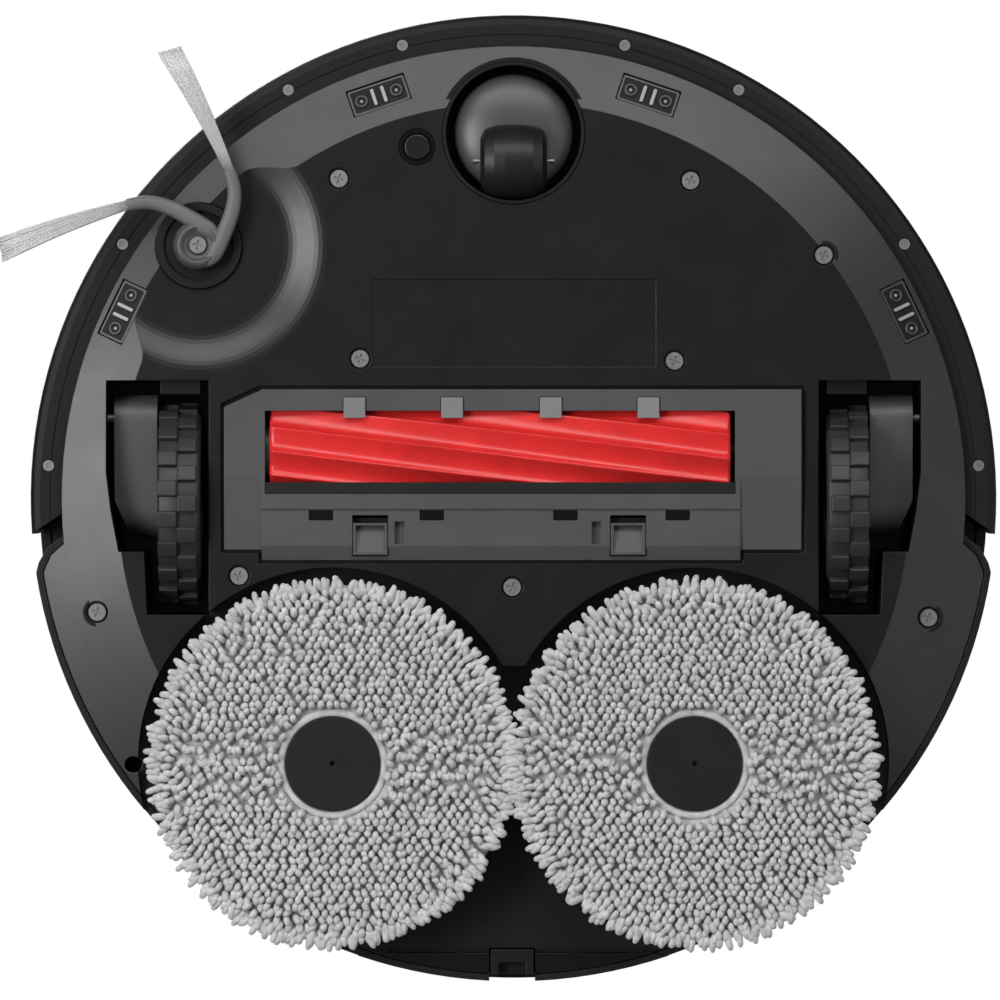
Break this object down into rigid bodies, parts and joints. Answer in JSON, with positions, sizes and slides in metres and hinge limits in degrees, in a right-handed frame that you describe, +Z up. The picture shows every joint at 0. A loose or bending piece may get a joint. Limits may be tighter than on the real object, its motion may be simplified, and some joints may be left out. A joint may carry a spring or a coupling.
{
  "type": "robot vacuum",
  "caption": "Round robot vacuum and mop with a red rubber main brush, a side brush, sprung drive wheels, a caster, spinning lifting mop pads and a laser turret.",
  "frame": {"origin": "on the body's vertical axis, at floor level", "axes": "+Z up, the front with the bumper faces -Y, the robot's left side is +X"},
  "size_m": [0.3608, 0.35, 0.097],
  "materials": {
    "black_plastic": "satin",
    "dark_plastic": "satin",
    "deck_plastic": "semi-gloss",
    "grey_plastic": "satin",
    "light_plastic": "satin",
    "smoke_plastic": "translucent smoke",
    "sensor_window": "gloss",
    "black_rubber": "matt",
    "tyre_rubber": "matt",
    "red_rubber": "semi-gloss",
    "grey_rubber": "satin",
    "bristle_nylon": "satin",
    "mop_yarn": "looped chenille",
    "steel": "satin",
    "circuit_board": "solder mask",
    "battery_wrap": "satin shrink wrap",
    "filter_paper": "pleated"
  },
  "bodies": {
    "chassis": {"bottom_chassis": "black_plastic", "rear_shell": "black_plastic", "top_deck": "deck_plastic", "brush_housing": "dark_plastic", "bin_bay": "dark_plastic", "main_board": "circuit_board", "battery_pack": "battery_wrap", "fan_blower": "grey_plastic", "side_brush_gearbox": "grey_plastic", "main_brush_gearbox": "grey_plastic", "water_tank": "smoke_plastic", "water_pump": "grey_plastic", "speaker": "dark_plastic", "charging_contacts": "steel", "rear_water_port": "black_plastic", "cliff_sensor_windows": "sensor_window", "carpet_sensor": "black_plastic", "caster_socket": "black_plastic", "chassis_screws": "steel", "suspension_pins": "steel", "lidar_base": "dark_plastic", "lidar_cap": "deck_plastic", "dust_bin": "smoke_plastic", "dust_filter": "filter_paper", "main_brush_end_caps": "light_plastic", "left_suspension_spring": "steel", "right_suspension_spring": "steel"},
    "bumper": {"bumper_shell": "black_plastic", "bumper_screws": "steel", "bumper_sensor_window": "sensor_window"},
    "left_suspension": {"left_wheel_gearbox": "grey_plastic", "left_drive_motor": "steel"},
    "left_wheel": {"left_wheel_rim": "dark_plastic", "left_tyre": "tyre_rubber"},
    "right_suspension": {"right_wheel_gearbox": "grey_plastic", "right_drive_motor": "steel"},
    "right_wheel": {"right_wheel_rim": "dark_plastic", "right_tyre": "tyre_rubber"},
    "caster_swivel": {"caster_fork": "grey_plastic", "caster_axle": "steel"},
    "caster_roller": {"caster_wheel": "black_rubber"},
    "main_brush": {"main_brush_core": "dark_plastic", "main_brush_blades": "red_rubber"},
    "side_brush": {"side_brush_arms": "grey_rubber", "side_brush_bristles": "bristle_nylon", "side_brush_screw": "steel"},
    "guard": {"brush_guard": "grey_plastic", "guard_tabs": "light_plastic"},
    "left_latch": {"left_guard_latch": "light_plastic"},
    "right_latch": {"right_guard_latch": "light_plastic"},
    "mop_lift": {"mop_lift_frame": "grey_plastic", "mop_motors": "steel"},
    "left_mop": {"left_mop_plate": "black_plastic", "left_mop_pad": "mop_yarn"},
    "right_mop": {"right_mop_plate": "black_plastic", "right_mop_pad": "mop_yarn"},
    "lid": {"top_lid": "deck_plastic"},
    "lidar": {"lidar_rotor": "dark_plastic"},
    "power_key": {"power_button": "light_plastic"},
    "home_key": {"home_button": "light_plastic"}
  },
  "joints": [
    {"name": "bumper_press", "type": "slide", "parent": "chassis", "child": "bumper", "axis": [0, 1, 0], "range_m": [0, 0.004], "stiffness_N_per_m": 400, "springref_m": -0.004},
    {"name": "left_suspension_arm", "type": "hinge", "parent": "chassis", "child": "left_suspension", "pos_m": [0.137, -0.029, 0.03], "axis": [1, 0, 0], "range_deg": [-38, 0], "stiffness_Nm_per_rad": 0.12, "springref_deg": -68.75, "deforming": ["left_suspension_spring"]},
    {"name": "left_wheel_spin", "type": "hinge", "parent": "left_suspension", "child": "left_wheel", "pos_m": [0.1205, 0.0021, 0.03685], "axis": [1, 0, 0], "continuous": true},
    {"name": "right_suspension_arm", "type": "hinge", "parent": "chassis", "child": "right_suspension", "pos_m": [-0.137, -0.029, 0.03], "axis": [1, 0, 0], "range_deg": [-38, 0], "stiffness_Nm_per_rad": 0.12, "springref_deg": -68.75, "deforming": ["right_suspension_spring"]},
    {"name": "right_wheel_spin", "type": "hinge", "parent": "right_suspension", "child": "right_wheel", "pos_m": [-0.1205, 0.0021, 0.03685], "axis": [1, 0, 0], "continuous": true},
    {"name": "caster_swivel_turn", "type": "hinge", "parent": "chassis", "child": "caster_swivel", "pos_m": [0, -0.1318, 0], "axis": [0, 0, 1], "continuous": true},
    {"name": "caster_roll", "type": "hinge", "parent": "caster_swivel", "child": "caster_roller", "pos_m": [0, -0.1217, 0.0134], "axis": [1, 0, 0], "continuous": true},
    {"name": "main_brush_spin", "type": "hinge", "parent": "chassis", "child": "main_brush", "pos_m": [0, -0.017, 0.0283], "axis": [1, 0, 0], "continuous": true},
    {"name": "side_brush_spin", "type": "hinge", "parent": "chassis", "child": "side_brush", "pos_m": [-0.1138, -0.0912, 0], "axis": [0, 0, 1], "continuous": true},
    {"name": "guard_release", "type": "slide", "parent": "chassis", "child": "guard", "axis": [0, 0, -1], "range_m": [0, 0.025]},
    {"name": "left_latch_slide", "type": "slide", "parent": "guard", "child": "left_latch", "axis": [0, -1, 0], "range_m": [0, 0.0022], "stiffness_N_per_m": 300, "springref_m": -0.002},
    {"name": "right_latch_slide", "type": "slide", "parent": "guard", "child": "right_latch", "axis": [0, -1, 0], "range_m": [0, 0.0022], "stiffness_N_per_m": 300, "springref_m": -0.002},
    {"name": "mop_lift_slide", "type": "slide", "parent": "chassis", "child": "mop_lift", "axis": [0, 0, 1], "range_m": [0, 0.01]},
    {"name": "left_mop_spin", "type": "hinge", "parent": "mop_lift", "child": "left_mop", "pos_m": [0.0652, 0.0957, 0], "axis": [0, 0, 1], "continuous": true},
    {"name": "right_mop_spin", "type": "hinge", "parent": "mop_lift", "child": "right_mop", "pos_m": [-0.0652, 0.0957, 0], "axis": [0, 0, 1], "continuous": true},
    {"name": "lid_hinge", "type": "hinge", "parent": "chassis", "child": "lid", "pos_m": [0, -0.026, 0.0789], "axis": [-1, 0, 0], "range_deg": [0, 80]},
    {"name": "lidar_spin", "type": "hinge", "parent": "chassis", "child": "lidar", "pos_m": [0, 0.045, 0.08], "axis": [0, 0, 1], "continuous": true},
    {"name": "power_button_press", "type": "slide", "parent": "chassis", "child": "power_key", "axis": [0, 0, -1], "range_m": [0, 0.001], "stiffness_N_per_m": 600, "springref_m": -0.001},
    {"name": "home_button_press", "type": "slide", "parent": "chassis", "child": "home_key", "axis": [0, 0, -1], "range_m": [0, 0.001], "stiffness_N_per_m": 600, "springref_m": -0.001}
  ],
  "couplings": [
    {"joint": "right_mop_spin", "follows": "left_mop_spin", "ratio": -1}
  ]
}
